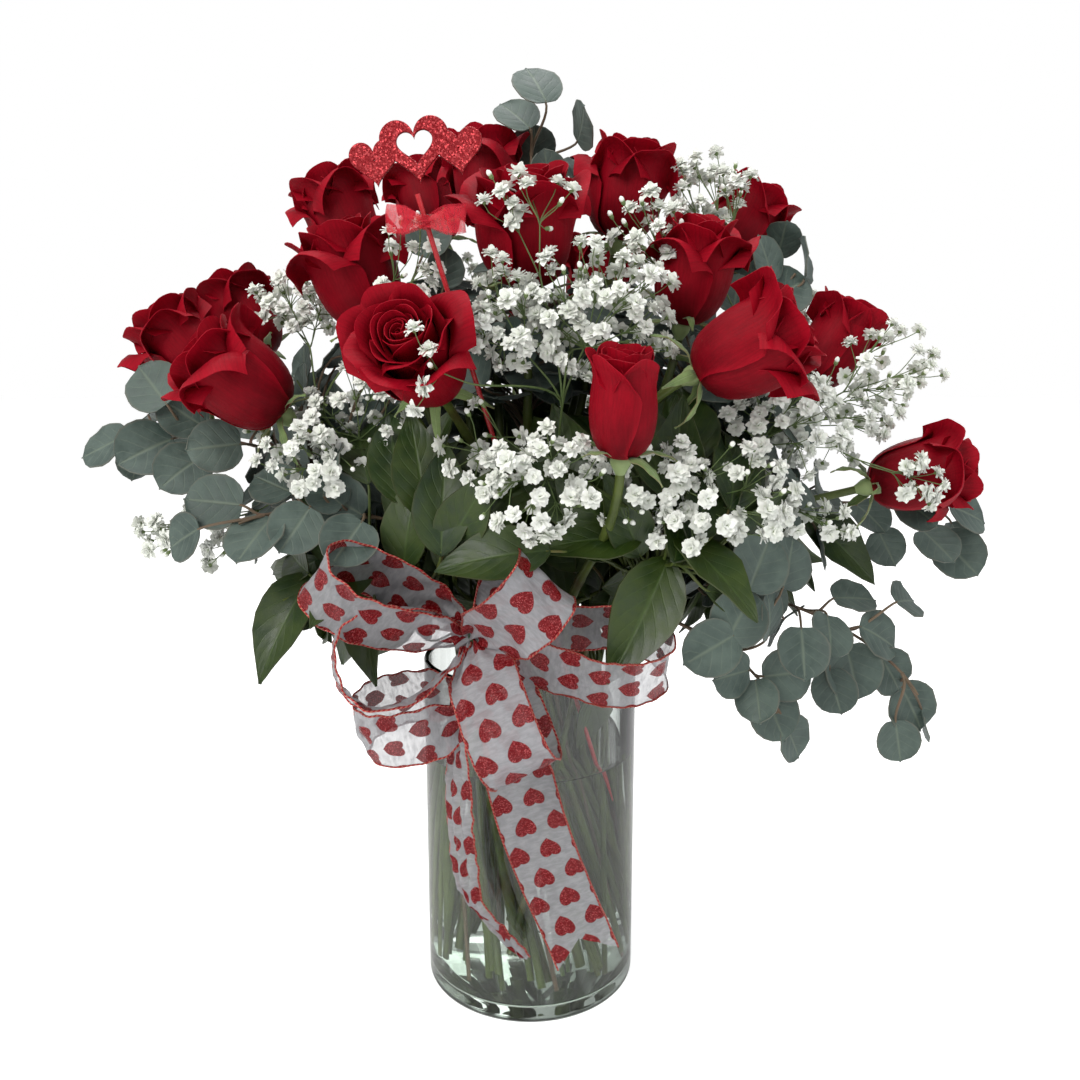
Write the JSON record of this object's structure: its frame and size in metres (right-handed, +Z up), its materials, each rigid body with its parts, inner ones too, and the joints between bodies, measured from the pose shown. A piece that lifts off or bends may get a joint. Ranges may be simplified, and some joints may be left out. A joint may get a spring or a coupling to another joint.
{
  "type": "roses in a vase",
  "caption": "Red roses with eucalyptus, lemon leaf and baby's breath in a clear glass cylinder vase, tied with a sheer heart-patterned ribbon bow.",
  "frame": {"origin": "middle of the vase's flat underside", "axes": "+Z up along the vase's axis, -Y towards the front with the bow, +X to the right seen from the front"},
  "size_m": [0.5194, 0.3684, 0.5398],
  "materials": {
    "vase_glass": "clear polished",
    "water": "clear still water",
    "rose_petal": "velvety petal",
    "rose_stem": "waxy green stem",
    "eucalyptus": "matt silver-green leaf",
    "lemon_leaf": "glossy dark green leaf",
    "babys_breath": "white blossom on thin green twigs",
    "ribbon": "sheer white organza with red glitter hearts and wired edges",
    "bow_wire": "green lacquered wire",
    "glitter": "red glitter",
    "red_plastic": "red plastic stick",
    "sheer_ribbon": "sheer red ribbon"
  },
  "bodies": {
    "root": {"babys_breath_back": "babys_breath", "babys_breath_front": "babys_breath", "babys_breath_left": "babys_breath", "babys_breath_right": "babys_breath", "bow_ribbon": "ribbon", "bow_wire": "bow_wire", "eucalyptus_back_left": "eucalyptus", "eucalyptus_back_right": "eucalyptus", "eucalyptus_left_high": "eucalyptus", "eucalyptus_left_low": "eucalyptus", "eucalyptus_right_far": "eucalyptus", "eucalyptus_right_front": "eucalyptus", "eucalyptus_right_high": "eucalyptus", "eucalyptus_right_side": "eucalyptus", "eucalyptus_top": "eucalyptus", "lemon_leaf_back": "lemon_leaf", "lemon_leaf_front": "lemon_leaf", "lemon_leaf_left": "lemon_leaf", "lemon_leaf_right": "lemon_leaf", "pick_bow": "sheer_ribbon", "pick_hearts": "glitter", "pick_stick": "red_plastic", "rose_bloom_01": "rose_petal", "rose_bloom_02": "rose_petal", "rose_bloom_03": "rose_petal", "rose_bloom_04": "rose_petal", "rose_bloom_05": "rose_petal", "rose_bloom_06": "rose_petal", "rose_bloom_07": "rose_petal", "rose_bloom_08": "rose_petal", "rose_bloom_09": "rose_petal", "rose_bloom_10": "rose_petal", "rose_bloom_11": "rose_petal", "rose_bloom_12": "rose_petal", "rose_bloom_13": "rose_petal", "rose_bloom_14": "rose_petal", "rose_bloom_15": "rose_petal", "rose_bloom_16": "rose_petal", "rose_bloom_17": "rose_petal", "rose_bloom_18": "rose_petal", "rose_stem_01": "rose_stem", "rose_stem_02": "rose_stem", "rose_stem_03": "rose_stem", "rose_stem_04": "rose_stem", "rose_stem_05": "rose_stem", "rose_stem_06": "rose_stem", "rose_stem_07": "rose_stem", "rose_stem_08": "rose_stem", "rose_stem_09": "rose_stem", "rose_stem_10": "rose_stem", "rose_stem_11": "rose_stem", "rose_stem_12": "rose_stem", "rose_stem_13": "rose_stem", "rose_stem_14": "rose_stem", "rose_stem_15": "rose_stem", "rose_stem_16": "rose_stem", "rose_stem_17": "rose_stem", "rose_stem_18": "rose_stem", "vase": "vase_glass", "water": "water"}
  },
  "joints": []
}
